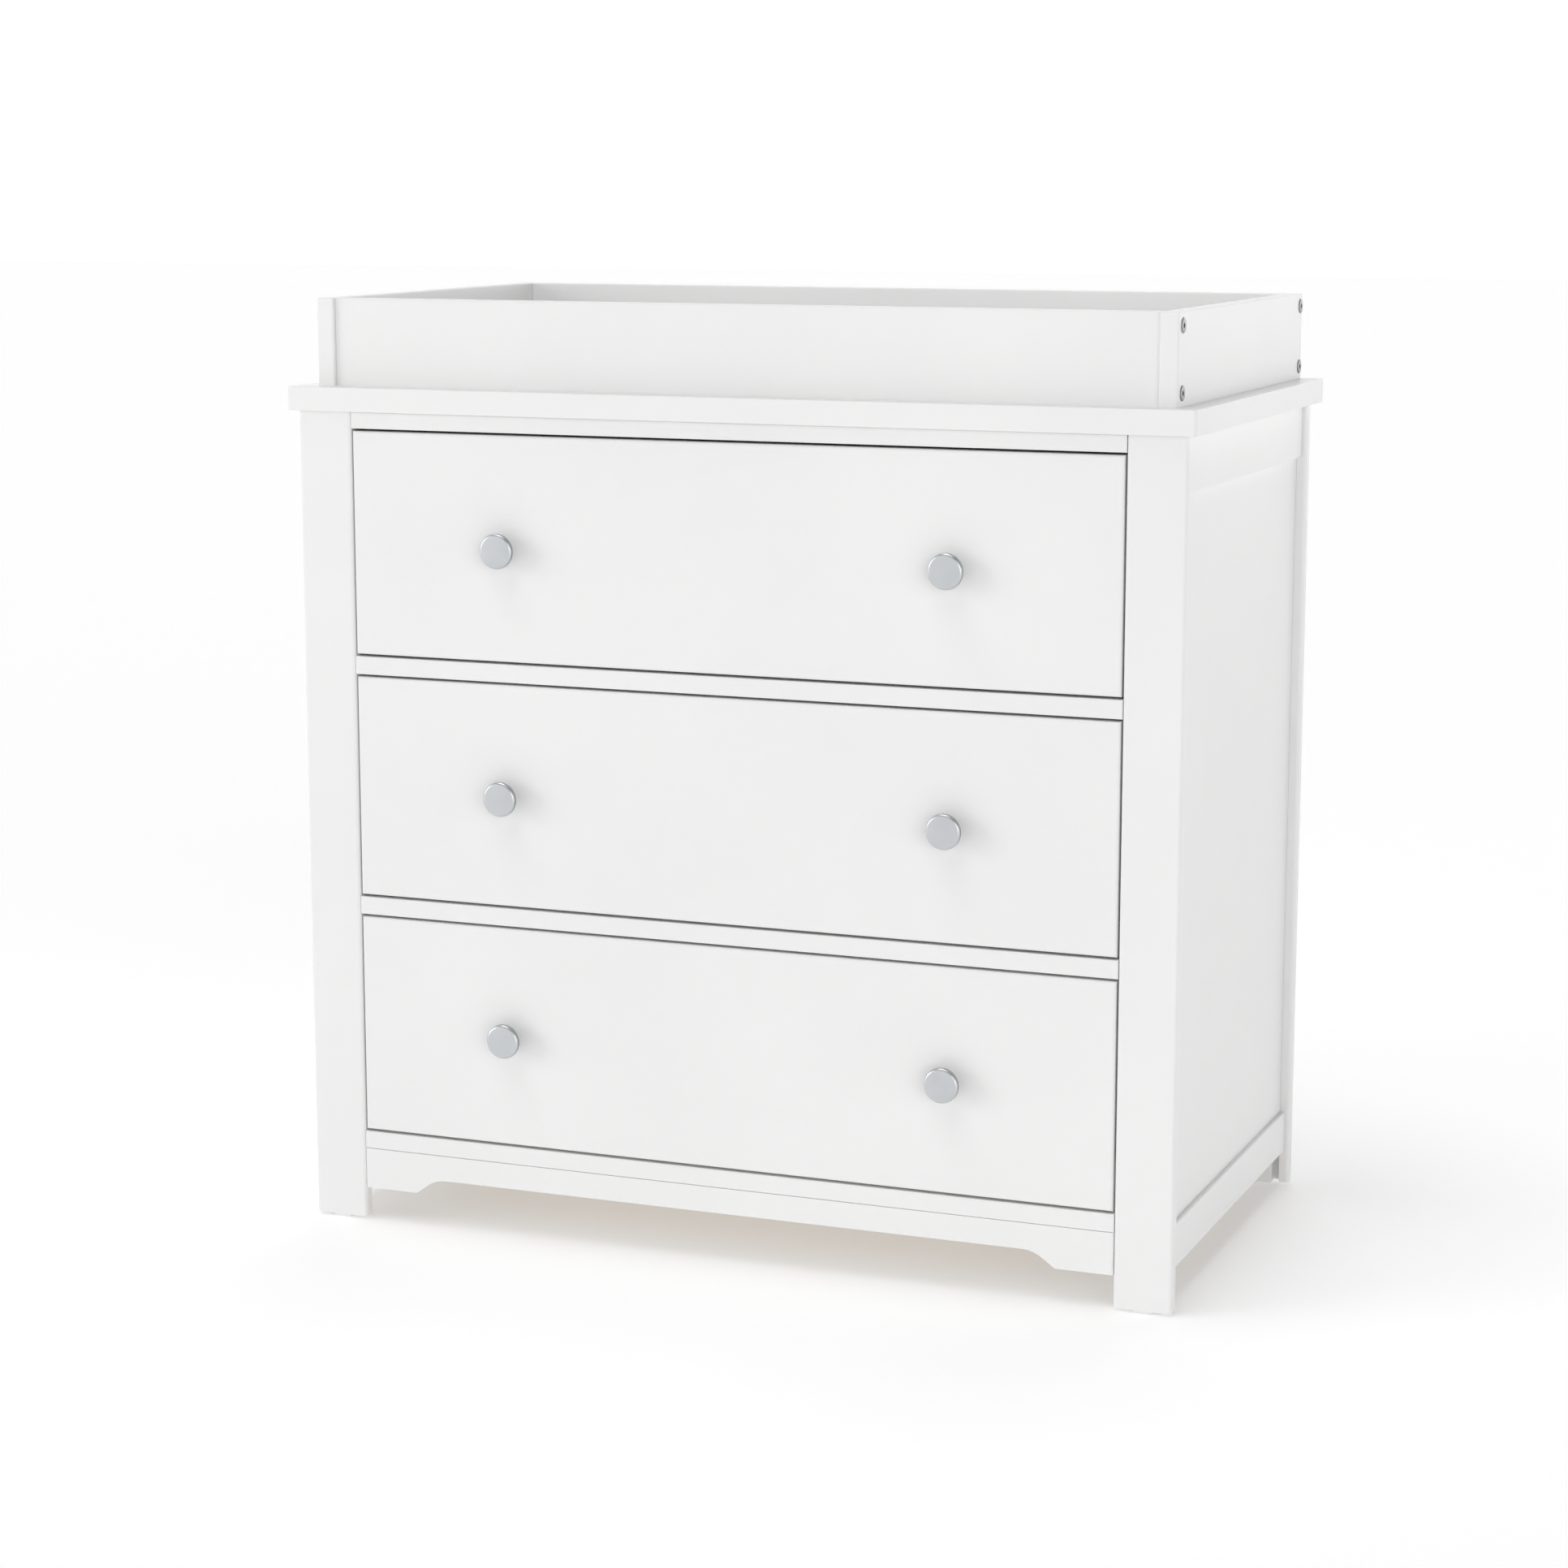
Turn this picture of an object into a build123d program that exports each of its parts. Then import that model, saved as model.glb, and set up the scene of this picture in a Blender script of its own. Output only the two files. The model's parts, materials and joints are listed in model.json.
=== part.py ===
from build123d import *
import os

# Changing table: a three-drawer chest with a lift-off changing tray on top.
# Millimetres. +Z up, +X to the user's right, the drawers open towards -Y.
# The origin is on the floor, in the middle of the outline, knobs included.

# --- Driving dimensions -------------------------------------------------------

TOP_WIDTH = 970
TOP_DEPTH = 520
TOP_THICKNESS = 25
CHEST_HEIGHT = 890
TRAY_HEIGHT = 90

FRONT_SETBACK = 8        # top board's edge to the posts' faces, front and rear
FRONT_POST_X = 475.5     # outer face of the front posts
REAR_POST_X = 474        # outer face of the rear posts
POST_WIDTH = 60
POST_THICKNESS = 15
GLIDE_HEIGHT = 3
GLIDE_LENGTH = 20
GLIDE_WIDTH = 13
NAIL_RADIUS = 2

SIDE_PANEL_X = 463       # outer face of the side panels
SIDE_PANEL_THICKNESS = 8
SIDE_RAIL_X = 468.5      # outer face of the side rails
SIDE_RAIL_THICKNESS = 16
SIDE_TOP_RAIL_HEIGHT = 58
SIDE_BOTTOM_RAIL = (38, 84)
GROOVE_DEPTH = 10
GROOVE_PLAY = 0.1        # clearance on each side of a panel in its groove

DRAWER_OPENING = 237
DIVIDER_HEIGHT = 19
FRONT_TOP_RAIL_HEIGHT = 17.5
FRONT_RAIL_DEPTH = 45
JOINT_GAP = 0.3          # fine shadow line where a rail meets a post
SEAM_GAP = 0.1           # between the bottom rail and the apron under it
RAIL_ROUNDING = 1.5
APRON_BOTTOM = 36
ARCH_RISE = 16.5
ARCH_HALF_WIDTH = 355
ARCH_STEP_WIDTH = 11
ARCH_STEP_RISE = 8
ARCH_CURVE_WIDTH = 24

FRONT_GAP_SIDE = 2
FRONT_GAP_ENDS = 2.5
FRONT_THICKNESS = 18
BOX_SIDE_HEIGHT = 180
BOX_FLOOR_CLEARANCE = 15
BOX_BOARD = 12
BOX_LENGTH = 427
BOTTOM_THICKNESS = 6
BOTTOM_RISE = 10
BOTTOM_TONGUE = 6

KNOB_X = 241
KNOB_DIAMETER = 36
KNOB_REACH = 22
KNOB_HEAD = 6            # thickness of the head
KNOB_RIM = 2.6           # radius of the soft edge around its face
KNOB_FOOT_RADIUS = 8
KNOB_NECK_RADIUS = 6.2

RUNNER_SPACE = 13        # from the batten's face to the side of the drawer
RUNNER_LENGTH = 400
RUNNER_RISE = 75         # runner's centre line above the drawer opening's floor
RUNNER_SETBACK = 5       # from the drawer front's inner face
RUNNER_SHEET = 1.2
OUTER_HEIGHT = 42
MIDDLE_HEIGHT = 33
INNER_HEIGHT = 24
BATTEN_HEIGHT = 50

TRAY_HALF_WIDTH = 460
TRAY_BOARD = 19
TRAY_FRONT_INSET = 23    # from the top board's front edge to the tray
TRAY_REAR_INSET = 2
TRAY_FRONT_RECESS = 5    # front board behind the side boards' ends
TRAY_BOLT_SPACING = 64

# --- Positions that follow from them ------------------------------------------

KNOB_OVERHANG = KNOB_REACH - FRONT_SETBACK
TOP_FRONT = KNOB_OVERHANG - (TOP_DEPTH + KNOB_OVERHANG) / 2
TOP_REAR = TOP_FRONT + TOP_DEPTH
FACE = TOP_FRONT + FRONT_SETBACK
BACK = TOP_REAR - FRONT_SETBACK
POST_BACK = FACE + POST_THICKNESS
REAR_POST_FRONT = BACK - POST_THICKNESS
TOP_UNDERSIDE = CHEST_HEIGHT - TOP_THICKNESS
OPENING_X = FRONT_POST_X - POST_WIDTH
PANEL_INNER_X = SIDE_PANEL_X - SIDE_PANEL_THICKNESS

# Floors of the three drawer openings, upper first.
UPPER_FLOOR = TOP_UNDERSIDE - FRONT_TOP_RAIL_HEIGHT - DRAWER_OPENING
PITCH = DRAWER_OPENING + DIVIDER_HEIGHT
DRAWERS = {
    "upper": UPPER_FLOOR,
    "middle": UPPER_FLOOR - PITCH,
    "lower": UPPER_FLOOR - 2 * PITCH,
}
BOTTOM_RAIL_UNDERSIDE = DRAWERS["lower"] - DIVIDER_HEIGHT

BOX_X = OPENING_X - RUNNER_SPACE
BOX_FRONT = FACE + FRONT_THICKNESS
BOX_REAR = BOX_FRONT + BOX_LENGTH

TRAY_FRONT = TOP_FRONT + TRAY_FRONT_INSET
TRAY_REAR = TOP_REAR - TRAY_REAR_INSET
TRAY_TOP = CHEST_HEIGHT + TRAY_HEIGHT
TRAY_INNER_X = TRAY_HALF_WIDTH - TRAY_BOARD
TRAY_CROSS_X = TRAY_INNER_X - 0.2
TRAY_FRONT_BOARD_Y = TRAY_FRONT + TRAY_FRONT_RECESS
TRAY_MIDDLE_Z = CHEST_HEIGHT + TRAY_HEIGHT / 2

DOWEL_RADIUS = 4
DOWEL_LENGTH = 29
DOWEL_PLAY = 0.1
CAM_RADIUS = 7.5
CAM_DEPTH = 12
CAM_DROP = 20            # cam's centre below the underside of the top board
CAM_BOLT_RADIUS = 3
CAM_BOLT_BITE = 12       # how far a cam bolt screws into the top board
SIDE_CAM_Y = (-150, 160)
REAR_CAM_X = 250
ANTI_TIP_X = 320
ANTI_TIP_RADIUS = 2.5
BACK_PANEL_THICKNESS = 4
BACK_PANEL_TOP = 825
BACK_PANEL_BOTTOM = 60
BACK_PANEL_X = 450
PEG_RADIUS = 4
PEG_DEPTH = 12
PEG_Y = (-150, 185)
INSERT_NUT_RADIUS = 5
INSERT_NUT_LENGTH = 18
INSERT_NUT_INSET = 0.5   # from the end of a cross board to its insert nut
BOLT_HEAD_RADIUS = 7.5
BOLT_HEAD_HEIGHT = 1.2
BOLT_SHAFT_RADIUS = 3
BOLT_REACH = 42          # from a side board's outer face to the tip of a bolt
BOLT_SOCKET_RADIUS = 2.6


# --- Helpers ------------------------------------------------------------------

def block(x, y, z):
    """A box given by its (low, high) limits along each axis."""
    size = Box(x[1] - x[0], y[1] - y[0], z[1] - z[0])
    return size.moved(Location(((x[0] + x[1]) / 2, (y[0] + y[1]) / 2, (z[0] + z[1]) / 2)))


def rod(radius, start, direction, length):
    """A cylinder from a point along a unit direction."""
    return extrude(Plane(start, z_dir=direction) * Circle(radius), length)


def edges_at(solid, axis, value, along=None):
    """The straight edges that lie in the plane axis = value."""
    found = solid.edges().filter_by(GeomType.LINE)
    if along is not None:
        found = found.filter_by(along)
    return found.filter_by_position(axis, value - 0.01, value + 0.01)


def rounded_face(solid, axis, value, radius):
    """Round the four edges around one flat face."""
    return fillet(edges_at(solid, axis, value), radius)


def mirrored(solid):
    """The same piece on the other side of the chest."""
    return mirror(solid, about=Plane.YZ)


def both_sides(solids):
    """The pieces given, and their mirror images."""
    return [piece for solid in solids for piece in (solid, mirrored(solid))]


def save(name, *solids):
    """Write one node, made of one solid or a group of separate ones."""
    shape = solids[0] if len(solids) == 1 else Compound(children=list(solids))
    export_step(shape, f"parts/{name}.step")


# --- Carcass ------------------------------------------------------------------

def cam_places():
    """Centre of each cam on its rail's inner face, and the way it is pushed in."""
    z = TOP_UNDERSIDE - CAM_DROP
    x = SIDE_RAIL_X - SIDE_RAIL_THICKNESS
    places = [((x, y, z), (1, 0, 0)) for y in SIDE_CAM_Y]
    places += [((-x, y, z), (-1, 0, 0)) for y in SIDE_CAM_Y]
    places += [((side * REAR_CAM_X, REAR_POST_FRONT, z), (0, 1, 0)) for side in (-1, 1)]
    return places


def cam_middle(place, direction):
    """Point on a cam's axis where its bolt comes down."""
    return tuple(p + d * CAM_DEPTH / 2 for p, d in zip(place, direction))


def cam_bores(rail):
    """Drill a rail for its cams and for the bolts above them."""
    for place, direction in cam_places():
        rail -= rod(CAM_RADIUS + DOWEL_PLAY, place, direction, CAM_DEPTH + 0.5)
        rail -= rod(CAM_BOLT_RADIUS + 0.5, cam_middle(place, direction), (0, 0, 1), CAM_DROP)
    return rail


def cam_lock(place, direction):
    """A zinc cam with a cross recess and the pocket that grips its bolt."""
    cam = rod(CAM_RADIUS, place, direction, CAM_DEPTH)
    cam -= rod(CAM_BOLT_RADIUS + 0.3, cam_middle(place, direction), (0, 0, 1), CAM_RADIUS + 1)
    face = Plane(place, z_dir=direction)
    cross = Rectangle(9, 1.4) + Rectangle(1.4, 9)
    return cam - extrude(face * cross, 2)


def cam_bolt(place, direction):
    """A steel pin with a collar, screwed into the top board's underside."""
    x, y, z = cam_middle(place, direction)
    bolt = rod(CAM_BOLT_RADIUS, (x, y, z), (0, 0, 1), CAM_DROP + CAM_BOLT_BITE)
    neck = rod(CAM_BOLT_RADIUS + 1, (x, y, z + 2.5), (0, 0, 1), 3)
    neck -= rod(CAM_BOLT_RADIUS - 1, (x, y, z + 2.5), (0, 0, 1), 3)
    return bolt - neck


def peg_places():
    """Where the tray's pegs meet the top board."""
    x = TRAY_HALF_WIDTH - TRAY_BOARD / 2
    return [(side * x, y, CHEST_HEIGHT) for side in (-1, 1) for y in PEG_Y]


def top_board():
    board = block(
        (-TOP_WIDTH / 2, TOP_WIDTH / 2), (TOP_FRONT, TOP_REAR), (TOP_UNDERSIDE, CHEST_HEIGHT)
    )
    board = fillet(board.edges().filter_by(Axis.Z), 4)
    rims = board.faces().filter_by(Axis.Z)
    board = fillet(rims.edges(), 1)
    for place, direction in cam_places():
        x, y, _ = cam_middle(place, direction)
        hole = rod(CAM_BOLT_RADIUS + 0.05, (x, y, TOP_UNDERSIDE), (0, 0, 1), CAM_BOLT_BITE + 0.5)
        board -= hole
    for place in peg_places():
        board -= rod(PEG_RADIUS + 0.25, place, (0, 0, -1), PEG_DEPTH + 1)
    return board


def dowel_places():
    """Centre of each dowel on the right-hand side; all of them lie along X."""
    front_y = FACE + POST_THICKNESS / 2
    rear_y = BACK - POST_THICKNESS / 2
    rear_x = REAR_POST_X - POST_WIDTH
    front_z = [TOP_UNDERSIDE - FRONT_TOP_RAIL_HEIGHT / 2]
    front_z += [floor - DIVIDER_HEIGHT / 2 for floor in DRAWERS.values()]
    front_z += [(APRON_BOTTOM + BOTTOM_RAIL_UNDERSIDE) / 2]
    places = [(OPENING_X, front_y, z) for z in front_z]
    places += [(rear_x, rear_y, TOP_UNDERSIDE - SIDE_TOP_RAIL_HEIGHT / 2)]
    places += [(rear_x, rear_y, sum(SIDE_BOTTOM_RAIL) / 2)]
    return places


def dowel(place, radius=DOWEL_RADIUS, length=DOWEL_LENGTH):
    x, y, z = place
    return rod(radius, (x - length / 2, y, z), (1, 0, 0), length)


def dowel_bores(piece):
    """Drill a piece for every dowel that enters it, on both sides."""
    for place in dowel_places():
        bore = dowel(place, DOWEL_RADIUS + DOWEL_PLAY, DOWEL_LENGTH + 1)
        piece -= bore
        piece -= mirrored(bore)
    return piece


def post(outer_x, y, groove_y):
    """A right-hand post, with its full-length groove for the side panel."""
    shape = block((outer_x - POST_WIDTH, outer_x), y, (GLIDE_HEIGHT, TOP_UNDERSIDE))
    shape = fillet(shape.edges().filter_by(Axis.Z), 3.5)
    groove_x = (PANEL_INNER_X - GROOVE_PLAY, SIDE_PANEL_X + GROOVE_PLAY)
    shape -= block(groove_x, groove_y, (0, TOP_UNDERSIDE + 1))
    x, y_middle = glide_place(outer_x, y)
    shape -= rod(NAIL_RADIUS + 0.1, (x, y_middle, GLIDE_HEIGHT), (0, 0, 1), 13)
    return dowel_bores(shape)


def front_post():
    return post(FRONT_POST_X, (FACE, POST_BACK), (POST_BACK - GROOVE_DEPTH, POST_BACK + 1))


def rear_post():
    groove = (REAR_POST_FRONT - 1, REAR_POST_FRONT + GROOVE_DEPTH)
    return post(REAR_POST_X, (REAR_POST_FRONT, BACK), groove)


def glide_place(outer_x, y):
    """Where a glide's nail goes up into the middle of a post."""
    return (outer_x - POST_WIDTH / 2, sum(y) / 2)


def foot_glide(outer_x, y):
    """A flat plastic glide on a short nail."""
    x, y_middle = glide_place(outer_x, y)
    outline = Location((x, y_middle, 0)) * RectangleRounded(GLIDE_LENGTH, GLIDE_WIDTH, 1.5)
    pad = extrude(outline, GLIDE_HEIGHT)
    pad = chamfer(pad.edges().group_by(Axis.Z)[0], 0.4)
    return pad + rod(NAIL_RADIUS, (x, y_middle, GLIDE_HEIGHT), (0, 0, 1), 12)


def side_panel():
    """The flush-grooved infill panel between the posts and the side rails."""
    y = (POST_BACK - GROOVE_DEPTH + 0.5, REAR_POST_FRONT + GROOVE_DEPTH - 0.5)
    z_low = SIDE_BOTTOM_RAIL[1] - GROOVE_DEPTH + 1
    z_high = TOP_UNDERSIDE - SIDE_TOP_RAIL_HEIGHT + GROOVE_DEPTH - 1
    return block((PANEL_INNER_X, SIDE_PANEL_X), y, (z_low, z_high))


def side_rail(z, groove_z, tenon_z):
    """A side rail with a groove for the panel and a stub tenon at each end."""
    y = (POST_BACK, REAR_POST_FRONT)
    rail = block((SIDE_RAIL_X - SIDE_RAIL_THICKNESS, SIDE_RAIL_X), y, z)
    rail = rounded_face(rail, Axis.X, SIDE_RAIL_X, 3)
    groove_x = (PANEL_INNER_X - GROOVE_PLAY, SIDE_PANEL_X + GROOVE_PLAY)
    rail -= block(groove_x, (y[0] - 1, y[1] + 1), groove_z)
    tenon_y = (y[0] - GROOVE_DEPTH + 0.5, y[1] + GROOVE_DEPTH - 0.5)
    tenon = block((PANEL_INNER_X, SIDE_PANEL_X), tenon_y, tenon_z)
    return rail + tenon


def top_side_rail():
    low = TOP_UNDERSIDE - SIDE_TOP_RAIL_HEIGHT
    groove_top = low + GROOVE_DEPTH
    rail = side_rail(
        (low, TOP_UNDERSIDE), (low - 1, groove_top), (groove_top + 1, TOP_UNDERSIDE - 2)
    )
    return cam_bores(rail)


def bottom_side_rail():
    low, high = SIDE_BOTTOM_RAIL
    groove_floor = high - GROOVE_DEPTH
    return side_rail((low, high), (groove_floor, high + 1), (low + 2, groove_floor - 1))


def front_rail(z):
    """A horizontal between the front posts, softened along its front edges."""
    half = OPENING_X - JOINT_GAP
    rail = block((-half, half), (FACE, FACE + FRONT_RAIL_DEPTH), z)
    rail = rounded_face(rail, Axis.Y, FACE, RAIL_ROUNDING)
    return dowel_bores(rail)


def front_top_rail():
    return front_rail((TOP_UNDERSIDE - FRONT_TOP_RAIL_HEIGHT, TOP_UNDERSIDE))


def rail_below(opening_floor):
    """The rail whose upper side is the floor of a drawer opening."""
    return front_rail((opening_floor - DIVIDER_HEIGHT, opening_floor))


def apron_outline():
    """A long shallow arch along the lower edge, with a small step at each end."""
    half = OPENING_X - JOINT_GAP
    top = BOTTOM_RAIL_UNDERSIDE - SEAM_GAP
    step_x = ARCH_HALF_WIDTH - ARCH_STEP_WIDTH
    step_z = APRON_BOTTOM + ARCH_STEP_RISE
    crown_x = step_x - ARCH_CURVE_WIDTH
    crown_z = APRON_BOTTOM + ARCH_RISE
    right_curve = TangentArc((crown_x, crown_z), (step_x, step_z), tangent=(1, 0))
    left_curve = mirror(right_curve, about=Plane.YZ)
    right_side = Polyline(
        (step_x, step_z), (ARCH_HALF_WIDTH, APRON_BOTTOM), (half, APRON_BOTTOM), (half, top)
    )
    left_side = mirror(right_side, about=Plane.YZ)
    crown = Line((-crown_x, crown_z), (crown_x, crown_z))
    top_edge = Line((half, top), (-half, top))
    return make_face([crown, right_curve, right_side, top_edge, left_side, left_curve])


def front_apron():
    """The shaped board under the lowest drawer."""
    face = Plane((0, FACE, 0), x_dir=(1, 0, 0), z_dir=(0, -1, 0)) * apron_outline()
    apron = extrude(face, -POST_THICKNESS)
    ends = edges_at(apron, Axis.Y, FACE, Axis.Z)
    return dowel_bores(fillet(ends, 2))


def rear_rail(z):
    half = REAR_POST_X - POST_WIDTH - JOINT_GAP
    rail = block((-half, half), (REAR_POST_FRONT, BACK), z)
    rail = rounded_face(rail, Axis.Y, BACK, 2)
    return dowel_bores(rail)


def rear_top_rail():
    """The rail that the cams and the two anti-tip holes are in."""
    rail = cam_bores(rear_rail((TOP_UNDERSIDE - SIDE_TOP_RAIL_HEIGHT, TOP_UNDERSIDE)))
    z = TOP_UNDERSIDE - SIDE_TOP_RAIL_HEIGHT / 2
    for side in (-1, 1):
        place = (side * ANTI_TIP_X, REAR_POST_FRONT, z)
        rail -= rod(ANTI_TIP_RADIUS, place, (0, 1, 0), POST_THICKNESS)
    return rail


def back_panel():
    """A thin board fixed to the inside of the rear posts and rails."""
    y = (REAR_POST_FRONT - BACK_PANEL_THICKNESS, REAR_POST_FRONT)
    return block((-BACK_PANEL_X, BACK_PANEL_X), y, (BACK_PANEL_BOTTOM, BACK_PANEL_TOP))


def runner_batten(floor):
    """The right-hand batten that carries one drawer's runner."""
    y = (POST_BACK, REAR_POST_FRONT - BACK_PANEL_THICKNESS)
    z = floor + RUNNER_RISE
    return block((OPENING_X, PANEL_INNER_X), y, (z - BATTEN_HEIGHT / 2, z + BATTEN_HEIGHT / 2))


# --- Telescopic runners -------------------------------------------------------

# Each runner is three C-sections, one nested in the next, with room between
# their flanges for the balls. Depths run from the batten's face (0) to the
# side of the drawer (RUNNER_SPACE).

def channel(web_depth, flange_depths, height, floor, length):
    """A C-section along Y on the right-hand side: a web with a flange at each edge."""
    z = floor + RUNNER_RISE
    low, high = z - height / 2, z + height / 2
    y_front = BOX_FRONT + RUNNER_SETBACK
    y = (y_front, y_front + length)
    web_x = (OPENING_X - web_depth - RUNNER_SHEET, OPENING_X - web_depth)
    flange_x = (OPENING_X - flange_depths[1], OPENING_X - flange_depths[0])
    section = block(web_x, y, (low, high))
    section += block(flange_x, y, (low, low + RUNNER_SHEET))
    section += block(flange_x, y, (high - RUNNER_SHEET, high))
    return section


def outer_runner(floor):
    """The member screwed to the batten."""
    return channel(0, (0, 9.5), OUTER_HEIGHT, floor, RUNNER_LENGTH)


def middle_runner(floor):
    """The member that travels half as far as the drawer."""
    return channel(3, (3, 11), MIDDLE_HEIGHT, floor, RUNNER_LENGTH - 10)


def inner_runner(floor):
    """The member screwed to the drawer's side."""
    web_depth = RUNNER_SPACE - RUNNER_SHEET
    return channel(web_depth, (5.5, RUNNER_SPACE), INNER_HEIGHT, floor, RUNNER_LENGTH - 5)


# --- Drawers ------------------------------------------------------------------

def box_z(floor):
    low = floor + BOX_FLOOR_CLEARANCE
    return (low, low + BOX_SIDE_HEIGHT)


def bottom_z(floor):
    low = floor + BOX_FLOOR_CLEARANCE + BOTTOM_RISE
    return (low, low + BOTTOM_THICKNESS)


def with_play(limits):
    return (limits[0] - GROOVE_PLAY, limits[1] + GROOVE_PLAY)


def knob_z(floor):
    return floor + DRAWER_OPENING / 2


def drawer_front(floor):
    """The slab front, grooved behind for the drawer bottom."""
    half = OPENING_X - FRONT_GAP_SIDE
    z = (floor + FRONT_GAP_ENDS, floor + DRAWER_OPENING - FRONT_GAP_ENDS)
    front = block((-half, half), (FACE, BOX_FRONT), z)
    front = rounded_face(front, Axis.Y, FACE, 2.5)
    groove_x = BOX_X - BOX_BOARD + BOTTOM_TONGUE
    groove_y = (BOX_FRONT - BOTTOM_TONGUE, BOX_FRONT + 1)
    front -= block(with_play((-groove_x, groove_x)), groove_y, with_play(bottom_z(floor)))
    for side in (-1, 1):
        front -= rod(2.3, (side * KNOB_X, FACE, knob_z(floor)), (0, 1, 0), FRONT_THICKNESS)
    return front


def drawer_side(floor):
    """The right-hand side of a drawer box, with the groove for the bottom."""
    side = block((BOX_X - BOX_BOARD, BOX_X), (BOX_FRONT, BOX_REAR), box_z(floor))
    side = fillet(edges_at(side, Axis.Z, box_z(floor)[1], Axis.Y), 2)
    groove_x = (BOX_X - BOX_BOARD - 1, BOX_X - BOX_BOARD + BOTTOM_TONGUE)
    return side - block(groove_x, (BOX_FRONT - 1, BOX_REAR + 1), with_play(bottom_z(floor)))


def drawer_back(floor):
    """The back of a drawer box, standing on the bottom."""
    half = BOX_X - BOX_BOARD
    z = (bottom_z(floor)[1], box_z(floor)[1])
    back = block((-half, half), (BOX_REAR - BOX_BOARD, BOX_REAR), z)
    return fillet(edges_at(back, Axis.Z, z[1], Axis.X), 2)


def drawer_bottom(floor):
    half = BOX_X - BOX_BOARD + BOTTOM_TONGUE - 0.3
    y = (BOX_FRONT - BOTTOM_TONGUE + 0.3, BOX_REAR)
    return block((-half, half), y, bottom_z(floor))


def knob(x, floor):
    """A round metal knob: slim foot, waisted neck, flat head with a soft rim."""
    head = KNOB_DIAMETER / 2
    head_back = KNOB_REACH - KNOB_HEAD
    wall_front = KNOB_REACH - KNOB_RIM
    outline = [
        Line((0, 0), (KNOB_FOOT_RADIUS, 0)),
        Line((KNOB_FOOT_RADIUS, 0), (KNOB_FOOT_RADIUS, 1)),
        TangentArc((KNOB_FOOT_RADIUS, 1), (KNOB_NECK_RADIUS, 3), tangent=(-1, 0)),
        Line((KNOB_NECK_RADIUS, 3), (KNOB_NECK_RADIUS, head_back - 5)),
        TangentArc((KNOB_NECK_RADIUS, head_back - 5), (head - 4, head_back), tangent=(0, 1)),
        Line((head - 4, head_back), (head, head_back + 1.5)),
        Line((head, head_back + 1.5), (head, wall_front)),
        TangentArc((head, wall_front), (head - KNOB_RIM, KNOB_REACH), tangent=(0, 1)),
        Line((head - KNOB_RIM, KNOB_REACH), (0, KNOB_REACH)),
        Line((0, KNOB_REACH), (0, 0)),
    ]
    turned = revolve(Plane.XZ * make_face(outline), Axis.Z)
    place = Plane((x, FACE, knob_z(floor)), x_dir=(1, 0, 0), z_dir=(0, -1, 0))
    return place * turned - rod(2.05, (x, FACE, knob_z(floor)), (0, -1, 0), 11)


def knob_screw(x, floor):
    """A pan-head screw from inside the drawer, through the front, into the knob."""
    z = knob_z(floor)
    head = rod(4, (x, BOX_FRONT, z), (0, 1, 0), 2.4)
    head = fillet(head.edges().group_by(Axis.Y)[-1], 1)
    slot = Rectangle(5, 1) + Rectangle(1, 5)
    head -= extrude(Plane((x, BOX_FRONT + 2.4, z), z_dir=(0, -1, 0)) * slot, 1.4)
    return head + rod(2, (x, BOX_FRONT, z), (0, -1, 0), FRONT_THICKNESS + 10)


# --- Changing tray ------------------------------------------------------------

def tray_bolt_places():
    """Each bolt on the right-hand board: (y of the board it enters, z)."""
    front = TRAY_FRONT_BOARD_Y + TRAY_BOARD / 2
    rear = TRAY_REAR - TRAY_BOARD / 2
    heights = [TRAY_MIDDLE_Z + side * TRAY_BOLT_SPACING / 2 for side in (-1, 1)]
    return [(y, z) for y in (front, rear) for z in heights]


def insert_nut_blank(y, z, play=0.0):
    """The space of one insert nut, in the right-hand end of a cross board."""
    start = (TRAY_CROSS_X - INSERT_NUT_INSET, y, z)
    return rod(INSERT_NUT_RADIUS + play, start, (-1, 0, 0), INSERT_NUT_LENGTH + play)


def tray_bolt_bores(piece):
    """Drill a tray board for the bolts and the insert nuts that enter it."""
    for y, z in tray_bolt_places():
        face = (TRAY_HALF_WIDTH, y, z)
        bore = rod(BOLT_SHAFT_RADIUS + 0.4, face, (-1, 0, 0), BOLT_REACH + 2)
        bore += insert_nut_blank(y, z, 0.1)
        piece -= bore
        piece -= mirrored(bore)
    return piece


def insert_nut(y, z):
    """A steel nut pressed into the end of a board, threaded for the bolt."""
    nut = insert_nut_blank(y, z)
    face = (TRAY_HALF_WIDTH, y, z)
    return nut - rod(BOLT_SHAFT_RADIUS + 0.05, face, (-1, 0, 0), BOLT_REACH + 2)


def tray_bolt(y, z):
    """A flat-head bolt with a hexagon socket, through the side board."""
    face = (TRAY_HALF_WIDTH, y, z)
    head = rod(BOLT_HEAD_RADIUS, face, (1, 0, 0), BOLT_HEAD_HEIGHT)
    head = fillet(head.edges().group_by(Axis.X)[-1], 0.8)
    shaft = rod(BOLT_SHAFT_RADIUS, face, (-1, 0, 0), BOLT_REACH)
    socket = Plane((TRAY_HALF_WIDTH + BOLT_HEAD_HEIGHT, y, z), z_dir=(-1, 0, 0))
    return head + shaft - extrude(socket * RegularPolygon(BOLT_SOCKET_RADIUS, 6), 3.5)


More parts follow.
